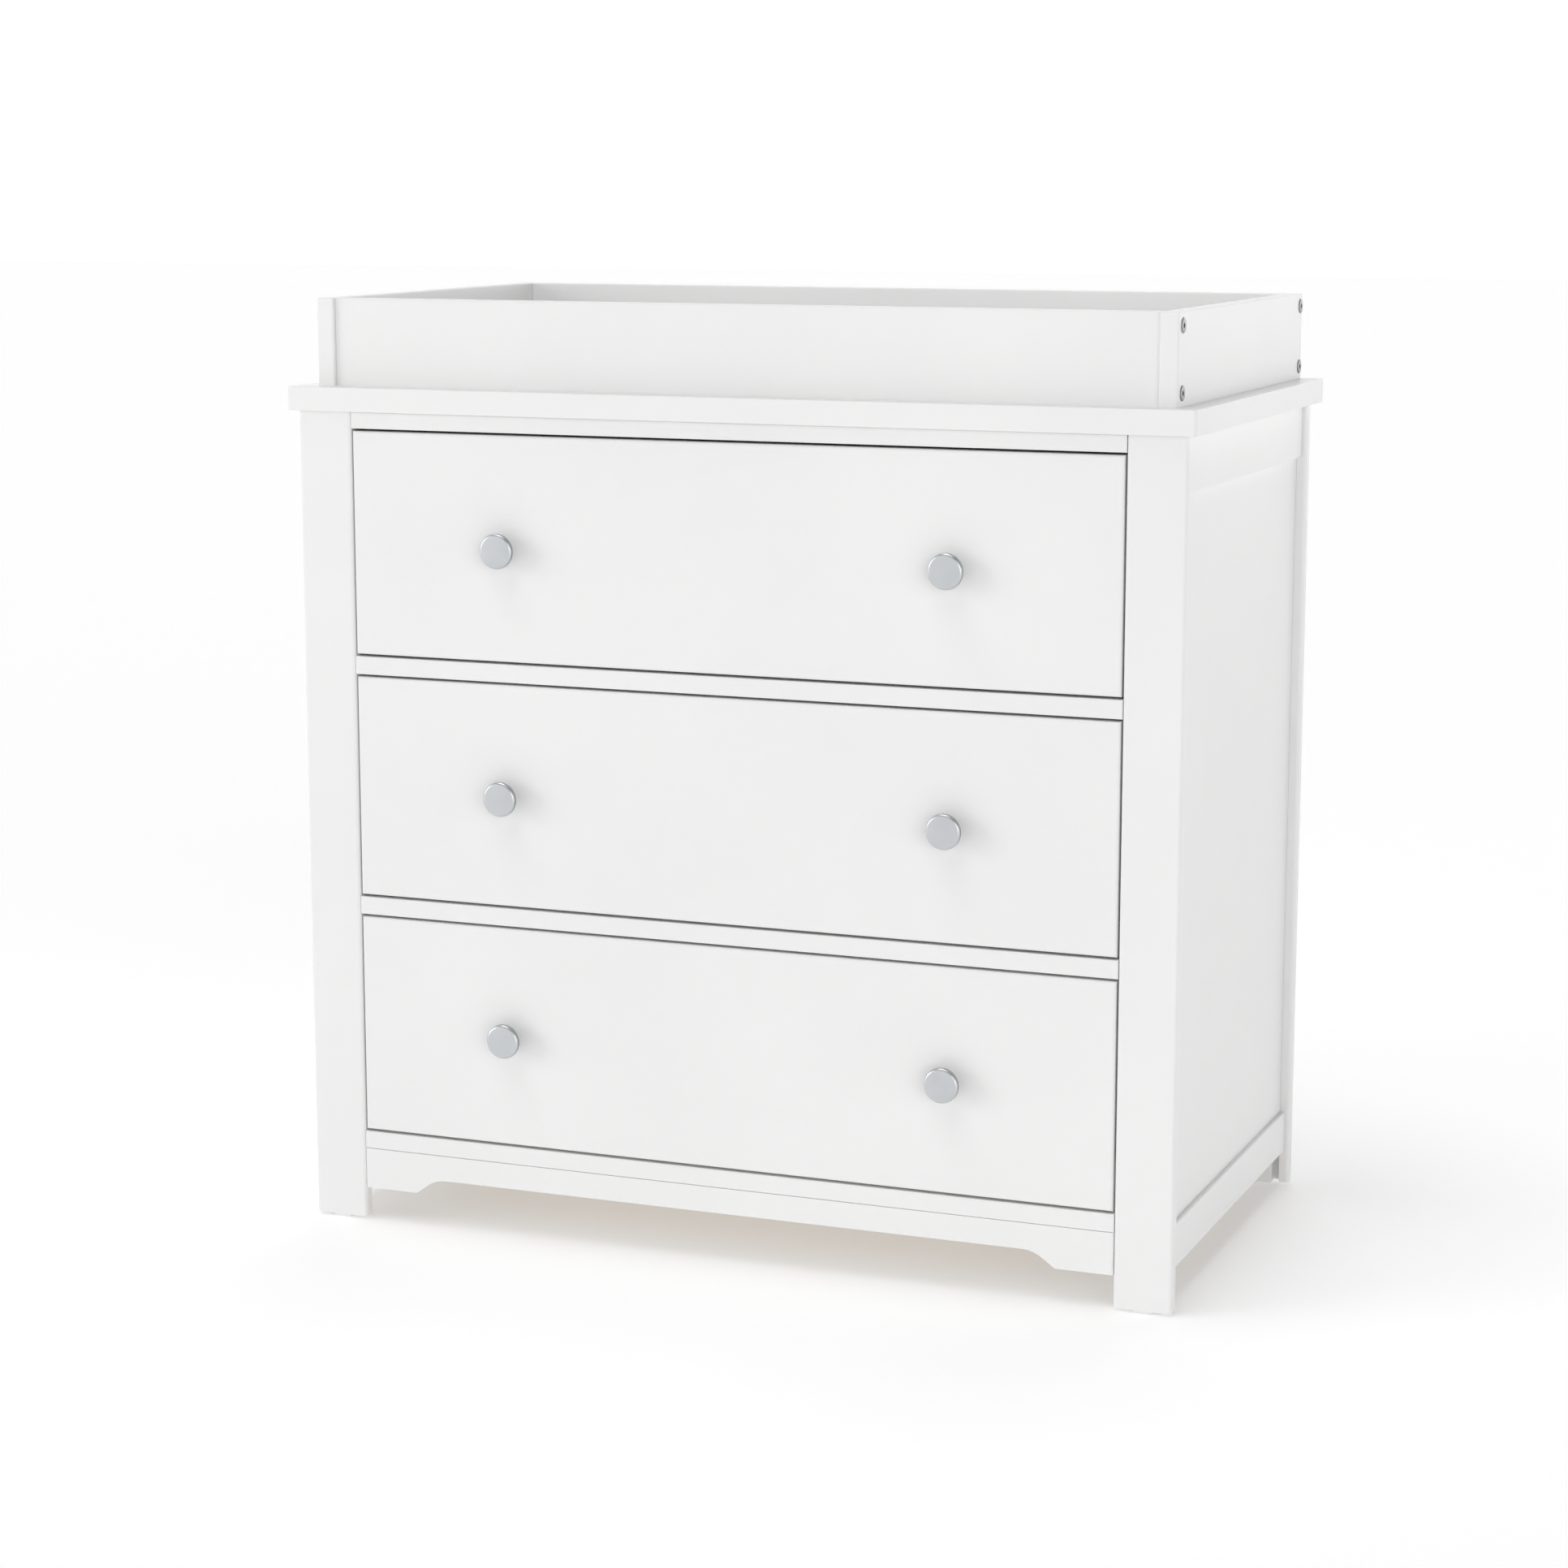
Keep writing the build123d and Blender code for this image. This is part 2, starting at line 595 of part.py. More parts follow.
def tray_side_board():
    """The right-hand board, which runs past the front board's face."""
    x = (TRAY_INNER_X, TRAY_HALF_WIDTH)
    board = block(x, (TRAY_FRONT, TRAY_REAR), (CHEST_HEIGHT, TRAY_TOP))
    board = fillet(board.edges().filter_by(Axis.Z), 2)
    board = fillet(board.faces().sort_by(Axis.Z)[-1].edges(), 1.5)
    for place in peg_places():
        board -= rod(PEG_RADIUS + 0.05, place, (0, 0, 1), PEG_DEPTH + 0.5)
    return tray_bolt_bores(board)


def tray_cross_board(y):
    """The front or rear board, held between the side boards."""
    board = block((-TRAY_CROSS_X, TRAY_CROSS_X), y, (CHEST_HEIGHT, TRAY_TOP))
    board = fillet(edges_at(board, Axis.Z, TRAY_TOP, Axis.X), 1.5)
    return tray_bolt_bores(board)


def tray_front_board():
    return tray_cross_board((TRAY_FRONT_BOARD_Y, TRAY_FRONT_BOARD_Y + TRAY_BOARD))


def tray_rear_board():
    return tray_cross_board((TRAY_REAR - TRAY_BOARD, TRAY_REAR))


def locating_peg(place):
    """A wooden peg glued into the tray, with a rounded lower end."""
    x, y, z = place
    peg = rod(PEG_RADIUS, (x, y, z - PEG_DEPTH), (0, 0, 1), 2 * PEG_DEPTH)
    return fillet(peg.edges().group_by(Axis.Z)[0], 1.5)


# --- Write every node ---------------------------------------------------------

def save_carcass():
    save("top_board", top_board())
    for name, piece in {
        "front_{}_post": front_post(),
        "rear_{}_post": rear_post(),
        "{}_side_panel": side_panel(),
        "{}_top_side_rail": top_side_rail(),
        "{}_bottom_side_rail": bottom_side_rail(),
    }.items():
        save(name.format("right"), piece)
        save(name.format("left"), mirrored(piece))
    save("front_top_rail", front_top_rail())
    save("upper_divider_rail", rail_below(DRAWERS["upper"]))
    save("lower_divider_rail", rail_below(DRAWERS["middle"]))
    save("front_bottom_rail", rail_below(DRAWERS["lower"]))
    save("front_apron", front_apron())
    save("rear_top_rail", rear_top_rail())
    save("rear_bottom_rail", rear_rail(SIDE_BOTTOM_RAIL))
    save("back_panel", back_panel())


def save_carcass_fittings():
    floors = DRAWERS.values()
    front_glide = foot_glide(FRONT_POST_X, (FACE, POST_BACK))
    rear_glide = foot_glide(REAR_POST_X, (REAR_POST_FRONT, BACK))
    save("foot_glides", *both_sides([front_glide, rear_glide]))
    save("rail_dowels", *both_sides([dowel(place) for place in dowel_places()]))
    save("cam_locks", *[cam_lock(place, way) for place, way in cam_places()])
    save("cam_bolts", *[cam_bolt(place, way) for place, way in cam_places()])
    save("runner_battens", *both_sides([runner_batten(floor) for floor in floors]))
    runners = [outer_runner(floor) for floor in floors]
    save("right_cabinet_runners", *runners)
    save("left_cabinet_runners", *[mirrored(runner) for runner in runners])


def save_drawer(name, floor):
    save(f"{name}_drawer_front", drawer_front(floor))
    save(f"{name}_drawer_right_side", drawer_side(floor))
    save(f"{name}_drawer_left_side", mirrored(drawer_side(floor)))
    save(f"{name}_drawer_back", drawer_back(floor))
    save(f"{name}_drawer_bottom", drawer_bottom(floor))
    save(f"{name}_drawer_knobs", *[knob(x, floor) for x in (-KNOB_X, KNOB_X)])
    save(f"{name}_drawer_knob_screws", *[knob_screw(x, floor) for x in (-KNOB_X, KNOB_X)])
    save(f"{name}_drawer_inner_runners", *both_sides([inner_runner(floor)]))
    save(f"{name}_drawer_telescopic_rails", *both_sides([middle_runner(floor)]))


def save_tray():
    save("tray_front_board", tray_front_board())
    save("tray_rear_board", tray_rear_board())
    save("tray_right_board", tray_side_board())
    save("tray_left_board", mirrored(tray_side_board()))
    places = tray_bolt_places()
    save("tray_bolts", *both_sides([tray_bolt(y, z) for y, z in places]))
    save("tray_insert_nuts", *both_sides([insert_nut(y, z) for y, z in places]))
    save("tray_locating_pegs", *[locating_peg(place) for place in peg_places()])


os.makedirs("parts", exist_ok=True)
save_carcass()
save_carcass_fittings()
for drawer_name, opening_floor in DRAWERS.items():
    save_drawer(drawer_name, opening_floor)
save_tray()
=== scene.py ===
"""Looks of the changing table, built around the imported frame.

Metres. +Z up, +X to the user's right, the drawers open towards -Y.
The boards are the CAD's own. Knobs, bolts and screws are turned again here, at the
CAD's sizes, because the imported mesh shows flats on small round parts.
"""

import json
import math

import bmesh
import bpy
from mathutils import Matrix, Vector


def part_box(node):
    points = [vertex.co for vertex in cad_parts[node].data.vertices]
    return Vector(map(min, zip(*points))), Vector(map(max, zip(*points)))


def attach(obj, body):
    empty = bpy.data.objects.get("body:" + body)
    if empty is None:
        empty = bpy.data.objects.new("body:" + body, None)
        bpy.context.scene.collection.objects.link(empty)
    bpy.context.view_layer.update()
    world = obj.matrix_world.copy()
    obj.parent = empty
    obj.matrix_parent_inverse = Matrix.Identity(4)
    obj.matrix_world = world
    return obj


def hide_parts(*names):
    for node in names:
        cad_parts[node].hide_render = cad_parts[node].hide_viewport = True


MM = 0.001
X, Y, Z = range(3)
DRAWERS = ("upper", "middle", "lower")

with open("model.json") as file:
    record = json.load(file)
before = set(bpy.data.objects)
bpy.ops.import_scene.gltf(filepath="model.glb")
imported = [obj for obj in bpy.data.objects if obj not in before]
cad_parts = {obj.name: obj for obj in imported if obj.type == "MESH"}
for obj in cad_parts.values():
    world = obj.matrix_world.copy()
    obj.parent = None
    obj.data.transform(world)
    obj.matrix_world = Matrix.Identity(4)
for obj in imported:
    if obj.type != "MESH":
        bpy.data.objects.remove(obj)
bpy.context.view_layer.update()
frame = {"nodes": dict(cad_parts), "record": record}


# --- Material building blocks -------------------------------------------------

def math_node(tree, operation, a, b):
    """The output of a math node in a tree; a and b are numbers or other outputs."""
    node = tree.nodes.new("ShaderNodeMath")
    node.operation = operation
    for socket, value in zip(node.inputs, (a, b)):
        if isinstance(value, (int, float)):
            socket.default_value = value
        else:
            tree.links.new(value, socket)
    return node.outputs["Value"]


class Look:
    """A node material with one Principled shader, mapped in the row frame."""

    def __init__(self, name):
        self.material = bpy.data.materials.new(name)
        self.material.use_nodes = True
        self.nodes = self.material.node_tree.nodes
        self.links = self.material.node_tree.links
        self.shader = self.nodes["Principled BSDF"]
        places = self.nodes.new("ShaderNodeTexCoord").outputs
        self.coordinates = places["Object"]
        self.outline = places["UV"]

    def set(self, **values):
        """Constants on the shader's own sockets, such as base_color or coat_weight."""
        for name, value in values.items():
            socket = self.shader.inputs[name.replace("_", " ").title().replace("Ior", "IOR")]
            socket.default_value = value
        return self

    def stretched(self, scale, coordinates=None):
        """The row frame's coordinates, or others, scaled per axis."""
        mapping = self.nodes.new("ShaderNodeMapping")
        mapping.inputs["Scale"].default_value = scale
        self.links.new(coordinates or self.coordinates, mapping.inputs["Vector"])
        return mapping.outputs["Vector"]

    def noise(self, scale, detail=2.0, roughness=0.5, vector=None, distortion=0.0):
        node = self.nodes.new("ShaderNodeTexNoise")
        node.inputs["Scale"].default_value = scale
        node.inputs["Detail"].default_value = detail
        node.inputs["Roughness"].default_value = roughness
        node.inputs["Distortion"].default_value = distortion
        self.links.new(vector or self.coordinates, node.inputs["Vector"])
        return node.outputs["Fac"]

    def ramp(self, factor, stops):
        """A colour ramp; stops are (position, (r, g, b))."""
        node = self.nodes.new("ShaderNodeValToRGB")
        elements = node.color_ramp.elements
        while len(elements) < len(stops):
            elements.new(0.5)
        for element, (position, colour) in zip(elements, stops):
            element.position = position
            element.color = (*colour, 1.0)
        self.links.new(factor, node.inputs["Fac"])
        return node.outputs["Color"]

    def remap(self, value, low, high):
        """A 0 to 1 value spread over low to high."""
        node = self.nodes.new("ShaderNodeMapRange")
        node.inputs["To Min"].default_value = low
        node.inputs["To Max"].default_value = high
        self.links.new(value, node.inputs["Value"])
        return node.outputs["Result"]

    def math(self, operation, a, b):
        return math_node(self.material.node_tree, operation, a, b)

    def part_of(self, vector, axis):
        """One component of a vector output."""
        split = self.nodes.new("ShaderNodeSeparateXYZ")
        self.links.new(vector, split.inputs["Vector"])
        return split.outputs[axis]

    def multiply(self, colour, factor):
        """A colour darkened by a 0 to 1 value."""
        node = self.nodes.new("ShaderNodeMix")
        node.data_type = "RGBA"
        node.blend_type = "MULTIPLY"
        node.inputs["Factor"].default_value = 1.0
        self.links.new(colour, node.inputs["A"])
        self.links.new(factor, node.inputs["B"])
        return node.outputs["Result"]

    def colour(self, output):
        self.links.new(output, self.shader.inputs["Base Color"])
        return self

    def roughness(self, output):
        self.links.new(output, self.shader.inputs["Roughness"])
        return self

    def bump(self, *layers):
        """Surface relief; each layer is (height output, depth in metres)."""
        normal = None
        for height, depth in layers:
            node = self.nodes.new("ShaderNodeBump")
            node.inputs["Strength"].default_value = 1.0
            node.inputs["Distance"].default_value = depth
            self.links.new(height, node.inputs["Height"])
            if normal is not None:
                self.links.new(normal, node.inputs["Normal"])
            normal = node.outputs["Normal"]
        self.links.new(normal, self.shader.inputs["Normal"])
        return self


def along(axis, along_scale, across_scale):
    """Per-axis scales for a grain that runs along one axis."""
    return tuple(along_scale if i == axis else across_scale for i in range(3))


# --- Materials ----------------------------------------------------------------

def white_lacquer(name, grain):
    """Satin white lacquer over closed-grain board, brushed out along the board."""
    look = Look(name)
    brushed = look.noise(1.0, 3.0, 0.55, look.stretched(along(grain, 5, 260)))
    peel = look.noise(700, 1.0, 0.5)
    cloud = look.noise(3.2, 3.0, 0.5)
    tint = look.ramp(cloud, [(0.35, (0.772, 0.772, 0.770)), (0.65, (0.794, 0.794, 0.791))])
    look.colour(tint)
    look.roughness(look.remap(brushed, 0.36, 0.50))
    look.bump((brushed, 0.00006), (peel, 0.00002))
    return look.set(coat_weight=0.12, coat_roughness=0.28).material


def turned_metal(name, dark, light, roughness, painted_shade=()):
    """Metal with the rings of the lathe; its pieces map V along their outline.

    The optional stops, each (distance along the outline in metres, shade), darken the metal with
    painted shade.
    """
    look = Look(name)
    rings = look.noise(1.0, 2.0, 0.6, look.stretched((0, 9000, 0), look.outline))
    cloud = look.noise(60, 2.0, 0.5)
    colour = look.ramp(cloud, [(0.3, dark), (0.7, light)])
    # Painted shade: the metal darkened along its outline by the given stops.
    if painted_shade:
        span = painted_shade[-1][0]
        distance = look.math("DIVIDE", look.part_of(look.outline, Y), span)
        stops = [(place / span, (shade, shade, shade)) for place, shade in painted_shade]
        colour = look.multiply(colour, look.ramp(distance, stops))
    look.colour(colour)
    look.roughness(look.remap(rings, *roughness))
    look.bump((rings, 0.000006))
    return look.set(metallic=1.0).material


# Painted shade along a knob's outline: its neck and the wall of its head are darkened to stand in
# for the shade they sit in and reflect, then the soft rim and the face keep full tone.
KNOB_PAINTED_SHADE = ((0.030, 0.80), (0.034, 0.44), (0.0367, 0.48), (0.0384, 1.0), (0.056, 1.0))


def satin_nickel():
    # The knobs' nickel, with painted shade on the neck and the wall of the head.
    return turned_metal("satin_nickel", (0.550, 0.568, 0.582), (0.580, 0.598, 0.612), (0.30, 0.42),
                        KNOB_PAINTED_SHADE)


def bolt_zinc():
    return turned_metal("bolt_zinc", (0.25, 0.255, 0.26), (0.30, 0.305, 0.31), (0.34, 0.46))


def zinc_plate():
    """Bright zinc plating with a faint spangle."""
    look = Look("zinc_plate")
    cloud = look.noise(220, 3.0, 0.6)
    look.colour(look.ramp(cloud, [(0.3, (0.48, 0.49, 0.50)), (0.7, (0.60, 0.61, 0.62))]))
    look.roughness(look.remap(cloud, 0.28, 0.45))
    look.bump((look.noise(900, 2.0, 0.6), 0.00002))
    return look.set(metallic=1.0).material


def runner_steel():
    """Zinc-plated strip, drawn along the runner."""
    look = Look("runner_steel")
    drawn = look.noise(1.0, 3.0, 0.6, look.stretched(along(Y, 6, 900)))
    look.colour(look.ramp(drawn, [(0.3, (0.52, 0.53, 0.54)), (0.7, (0.64, 0.65, 0.66))]))
    look.roughness(look.remap(drawn, 0.25, 0.45))
    look.bump((drawn, 0.00003))
    return look.set(metallic=1.0).material


def wood(name, grain, light, dark, plies=None):
    """Clear wood with its grain along one axis.

    plies is (axis, pitch): the lighter and darker layers of plywood edges.
    """
    look = Look(name)
    figure = look.noise(1.0, 4.0, 0.6, look.stretched(along(grain, 3, 42)), 0.6)
    pores = look.noise(1.0, 2.0, 0.7, look.stretched(along(grain, 30, 1100)))
    colour = look.ramp(figure, [(0.30, dark), (0.62, light)])
    streaks = look.ramp(pores, [(0.30, (0.86, 0.84, 0.80)), (0.55, (1.0, 1.0, 1.0))])
    colour = look.multiply(colour, streaks)
    if plies:
        axis, pitch = plies
        layer = look.math("PINGPONG", look.part_of(look.coordinates, axis), pitch)
        layer = look.math("DIVIDE", layer, pitch)
        shade = look.ramp(layer, [(0.42, (0.72, 0.62, 0.50)), (0.58, (1.0, 1.0, 1.0))])
        colour = look.multiply(colour, shade)
    look.colour(colour)
    look.roughness(look.remap(figure, 0.45, 0.62))
    look.bump((pores, 0.00004), (figure, 0.00005))
    return look.material


def back_board():
    """White foil on hardboard, with the faint emboss of the foil."""
    look = Look("back_board")
    cloud = look.noise(4, 3.0, 0.5)
    look.colour(look.ramp(cloud, [(0.35, (0.745, 0.745, 0.735)), (0.65, (0.775, 0.775, 0.765))]))
    emboss = look.noise(480, 3.0, 0.6)
    look.roughness(look.remap(emboss, 0.52, 0.68))
    return look.bump((emboss, 0.00005)).material


def glide_plastic():
    look = Look("glide_plastic")
    cloud = look.noise(160, 2.0, 0.5)
    look.colour(look.ramp(cloud, [(0.3, (0.74, 0.74, 0.73)), (0.7, (0.80, 0.80, 0.79))]))
    look.roughness(look.remap(cloud, 0.4, 0.55))
    return look.bump((look.noise(600, 2.0, 0.5), 0.00004)).material


BIRCH = ((0.84, 0.75, 0.61), (0.77, 0.66, 0.51))
BEECH = ((0.62, 0.42, 0.25), (0.50, 0.32, 0.18))
PINE = ((0.70, 0.52, 0.32), (0.56, 0.38, 0.20))


def paint(node, material):
    """Gives every material slot of a CAD node one material."""
    for slot in frame["nodes"][node].material_slots:
        slot.material = material


def paint_cad(nickel):
    lacquer = {axis: white_lacquer(f"white_lacquer_{'xyz'[axis]}", axis) for axis in (X, Y, Z)}
    grain = {}
    for side in ("left", "right"):
        grain[f"front_{side}_post"] = Z
        grain[f"rear_{side}_post"] = Z
        grain[f"{side}_side_panel"] = Z
        grain[f"{side}_top_side_rail"] = Y
        grain[f"{side}_bottom_side_rail"] = Y
        grain[f"tray_{side}_board"] = Y
    simple = {
        "zinc_steel": zinc_plate(),
        "runner_steel": runner_steel(),
        "back_board": back_board(),
        "glide_plastic": glide_plastic(),
    }
    pegs = wood("beech_peg", Z, *BEECH)
    dowels = wood("beech_dowel", X, *BEECH)
    battens = wood("pine_batten", Y, *PINE)
    box_side = wood("birch_ply_side", Y, *BIRCH, plies=(X, 1.5 * MM))
    box_back = wood("birch_ply_back", X, *BIRCH, plies=(Y, 1.5 * MM))
    box_bottom = wood("birch_ply_bottom", X, *BIRCH, plies=(Z, 1.0 * MM))
    for part in frame["record"]["subparts"]:
        node, slot = part["node"], part["material_slot"]
        if slot == "white_lacquer":
            paint(node, lacquer[grain.get(node, X)])
        elif slot in simple:
            paint(node, simple[slot])
        elif slot == "satin_nickel":
            paint(node, nickel)
        elif node == "tray_locating_pegs":
            paint(node, pegs)
        elif node == "rail_dowels":
            paint(node, dowels)
        elif node == "runner_battens":
            paint(node, battens)
        elif node.endswith("_side"):
            paint(node, box_side)
        elif node.endswith("_back"):
            paint(node, box_back)
        else:
            paint(node, box_bottom)


# --- Turned pieces ------------------------------------------------------------

SPIN_STEPS = 96
SHARP_ANGLE = math.radians(35)


def circle(turn):
    return 1.0


def hexagon(turn):
    """Reach of a hexagon at a turn, as a share of its corners' reach."""
    sixth = math.pi / 3
    return math.cos(sixth / 2) / math.cos(turn % sixth - sixth / 2)


CROSS_ARM = 0.2          # half-width of a cross recess's arm, as a share of its reach


def cross(turn):
    """Reach of a cross recess at a turn, as a share of its arms' reach."""
    long, short = sorted((abs(math.cos(turn)), abs(math.sin(turn))), reverse=True)
    return max(min(1 / long, CROSS_ARM / max(short, 1e-6)), CROSS_ARM / long)


class Outline:
    """Half of a turned section, as rings of (radius, height, shape) in millimetres."""

    def __init__(self, radius, height):
        self.rings = [(radius, height, circle)]

    def line(self, radius, height, shape=circle):
        self.rings.append((radius, height, shape))
        return self

    def arc(self, heading, radius, height, steps=8):
        """An arc that leaves the last ring along heading and ends at the new ring."""
        start, heading = Vector(self.rings[-1][:2]), Vector(heading).normalized()
        chord = Vector((radius, height)) - start
        turn = math.atan2(heading.cross(chord), heading.dot(chord))
        for step in range(1, steps + 1):
            part = turn * step / steps
            reach = chord.length * math.sin(part) / math.sin(turn)
            point = start + reach * (Matrix.Rotation(part, 2) @ heading)
            self.rings.append((*point, circle))
        return self


def spun_face(build, uv, corners):
    """One face from corners of (vertex, turn, distance along the outline)."""
    kept = []
    for corner in corners:
        if corner[0] not in [vertex for vertex, _, _ in kept]:
            kept.append(corner)
    face = build.faces.new([vertex for vertex, _, _ in kept])
    face.smooth = True
    for loop, (_, turn, distance) in zip(face.loops, kept):
        loop[uv].uv = (turn / SPIN_STEPS, distance)


def spin(outline):
    """The closed mesh of an outline spun about Z, in metres."""
    build = bmesh.new()
    uv = build.loops.layers.uv.new("turned")
    turns = [2 * math.pi * step / SPIN_STEPS for step in range(SPIN_STEPS)]
    loops = []
    for radius, height, shape in outline.rings:
        if radius == 0:
            loops.append([build.verts.new((0, 0, height * MM))] * SPIN_STEPS)
            continue
        reach = [radius * shape(turn) * MM for turn in turns]
        loops.append([
            build.verts.new((r * math.cos(turn), r * math.sin(turn), height * MM))
            for r, turn in zip(reach, turns)
        ])
    distance = 0.0
    for first, second, a, b in zip(loops, loops[1:], outline.rings, outline.rings[1:]):
        further = distance + math.dist(a[:2], b[:2]) * MM
        for step in range(SPIN_STEPS):
            after = (step + 1) % SPIN_STEPS
            spun_face(build, uv, [
                (first[step], step, distance),
                (second[step], step, further),
                (second[after], step + 1, further),
                (first[after], step + 1, distance),
            ])
        distance = further
    bmesh.ops.recalc_face_normals(build, faces=build.faces)
    mesh = bpy.data.meshes.new("turned")
    build.to_mesh(mesh)
    build.free()
    mesh.set_sharp_from_angle(angle=SHARP_ANGLE)
    return mesh


def turned(name, mesh, place, facing, body, material, replaces=None):
    """A copy of a turned mesh, standing at place with its axis towards facing."""
    copy = mesh.copy()
    turn = Vector(facing).to_track_quat("Z", "Y").to_matrix().to_4x4()
    copy.transform(Matrix.Translation(place) @ turn)
    copy.materials.append(material)
    piece = bpy.data.objects.new(name, copy)
    bpy.context.scene.collection.objects.link(piece)
    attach(piece, body)
    if replaces:
        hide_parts(replaces)
    return piece


def ends(node, inset):
    """The two X places at a node's left and right ends, inset from them."""
    low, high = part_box(node)
    return {"left": low.x + inset, "right": high.x - inset}


KNOB_RADIUS = 18
KNOB_REACH = 22
KNOB_RIM = 2.6
KNOB_FOOT_RADIUS, KNOB_FOOT_HEIGHT = 8, 1
KNOB_NECK_RADIUS = 6.2
KNOB_NECK_HEIGHTS = (3, 11)
KNOB_FLARE = (14, 16)    # radius and height where the neck's flare meets the head
KNOB_WALL_HEIGHT = 17.5  # where the head's wall starts


def knob_outline():
    """The CAD's knob: slim foot, waisted neck, flat head with a soft rim."""
    neck_start, neck_end = KNOB_NECK_HEIGHTS
    outline = Outline(0, 0).line(KNOB_FOOT_RADIUS, 0).line(KNOB_FOOT_RADIUS, KNOB_FOOT_HEIGHT)
    outline.arc((-1, 0), KNOB_NECK_RADIUS, neck_start)
    outline.line(KNOB_NECK_RADIUS, neck_end)
    outline.arc((0, 1), *KNOB_FLARE)
    outline.line(KNOB_RADIUS, KNOB_WALL_HEIGHT)
    outline.line(KNOB_RADIUS, KNOB_REACH - KNOB_RIM)
    outline.arc((0, 1), KNOB_RADIUS - KNOB_RIM, KNOB_REACH)
    return outline.line(0, KNOB_REACH)


def turn_knobs(material):
    mesh = spin(knob_outline())
    for drawer in DRAWERS:
        node = f"{drawer}_drawer_knobs"
        low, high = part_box(node)
        for side, x in ends(node, KNOB_RADIUS * MM).items():
            place = (x, high.y, (low.z + high.z) / 2)
            name = f"{drawer}_drawer_{side}_knob"
            turned(name, mesh, place, (0, -1, 0), f"{drawer}_drawer", material,
                   node)


BOLT_HEAD_RADIUS = 7.5
BOLT_HEAD_HEIGHT = 1.2
BOLT_HEAD_ROUNDING = 0.8
BOLT_SOCKET_REACH = 2.6  # to the hexagon's corners
BOLT_SOCKET_FLOOR = -2.3
BOLT_SOCKET_BEVEL = 0.2
BOLT_SHAFT_RADIUS = 3
BOLT_TIP_RADIUS = 2.3
BOLT_TIP_BEVEL = 1
BOLT_LENGTH = 42


def bolt_outline():
    """A low flat head with a hexagon socket, and its shaft."""
    mouth = BOLT_HEAD_HEIGHT - BOLT_SOCKET_BEVEL
    outline = Outline(0, BOLT_SOCKET_FLOOR)
    outline.line(BOLT_SOCKET_REACH, BOLT_SOCKET_FLOOR, hexagon)
    outline.line(BOLT_SOCKET_REACH, mouth, hexagon)
    outline.line(BOLT_SOCKET_REACH + BOLT_SOCKET_BEVEL, BOLT_HEAD_HEIGHT, hexagon)
    outline.line(BOLT_HEAD_RADIUS - BOLT_HEAD_ROUNDING, BOLT_HEAD_HEIGHT)
    outline.arc((1, 0), BOLT_HEAD_RADIUS, BOLT_HEAD_HEIGHT - BOLT_HEAD_ROUNDING)
    outline.line(BOLT_HEAD_RADIUS, 0).line(BOLT_SHAFT_RADIUS, 0)
    outline.line(BOLT_SHAFT_RADIUS, BOLT_TIP_BEVEL - BOLT_LENGTH)
    return outline.line(BOLT_TIP_RADIUS, -BOLT_LENGTH).line(0, -BOLT_LENGTH)


def turn_tray_bolts():
    mesh = spin(bolt_outline())
    material = bolt_zinc()
    inset = BOLT_HEAD_RADIUS * MM
    low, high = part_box("tray_bolts")
    board_low, board_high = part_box("tray_left_board")[0].x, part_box("tray_right_board")[1].x
    for side, x, facing in (("left", board_low, -1), ("right", board_high, 1)):
        for row, y in (("front", low.y + inset), ("rear", high.y - inset)):
            for level, z in (("lower", low.z + inset), ("upper", high.z - inset)):
                turned(f"tray_bolt_{side}_{row}_{level}", mesh, (x, y, z), (facing, 0, 0),
                       "changing_tray", material, "tray_bolts")


PAN_RECESS_REACH = 0.62  # of a cross recess at its mouth, as a share of the head's radius
PAN_RECESS_TAPER = 0.7   # of the recess's floor, as a share of its mouth
PAN_FLAT = 0.72          # of the head's flat top, as a share of its radius
PAN_EDGE = 0.4           # of the head's edge and the recess's floor, as a share of its height


def pan_head_outline(radius, height, shaft_radius, shaft_length):
    """A pan head with a cross recess, on its seat at height 0, and its shaft."""
    arm = PAN_RECESS_REACH * radius
    edge = PAN_EDGE * height
    outline = Outline(0, edge).line(PAN_RECESS_TAPER * arm, edge, cross)
    outline.line(arm, height, cross)
    outline.line(PAN_FLAT * radius, height).arc((1, 0), radius, edge).line(radius, 0)
    outline.line(shaft_radius, 0).line(shaft_radius, -shaft_length + 1)
    return outline.line(0, -shaft_length)


KNOB_SCREW_HEAD_RADIUS, KNOB_SCREW_HEAD_HEIGHT = 4, 2.4
KNOB_SCREW_RADIUS = 2
KNOB_SCREW_REACH = 28    # through the drawer front and into the knob


def turn_knob_screws(material):
    mesh = spin(pan_head_outline(
        KNOB_SCREW_HEAD_RADIUS, KNOB_SCREW_HEAD_HEIGHT, KNOB_SCREW_RADIUS, KNOB_SCREW_REACH
    ))
    for drawer in DRAWERS:
        node = f"{drawer}_drawer_knob_screws"
        low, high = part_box(node)
        seat = low.y + KNOB_SCREW_REACH * MM
        for side, x in ends(node, KNOB_SCREW_HEAD_RADIUS * MM).items():
            name = f"{drawer}_drawer_{side}_knob_screw"
            turned(name, mesh, (x, seat, (low.z + high.z) / 2), (0, 1, 0),
                   f"{drawer}_drawer", material, node)


RUNNER_SCREW_HEAD_RADIUS, RUNNER_SCREW_HEAD_HEIGHT = 3.4, 1.5
RUNNER_SCREW_RADIUS, RUNNER_SCREW_LENGTH = 1.7, 9
RUNNER_SHEET = 1.2
DRAWER_SCREWS = (28, 150, 360)     # along a drawer's runner member, from its front end
CABINET_SCREWS = (36, 228, 372)    # along a cabinet member


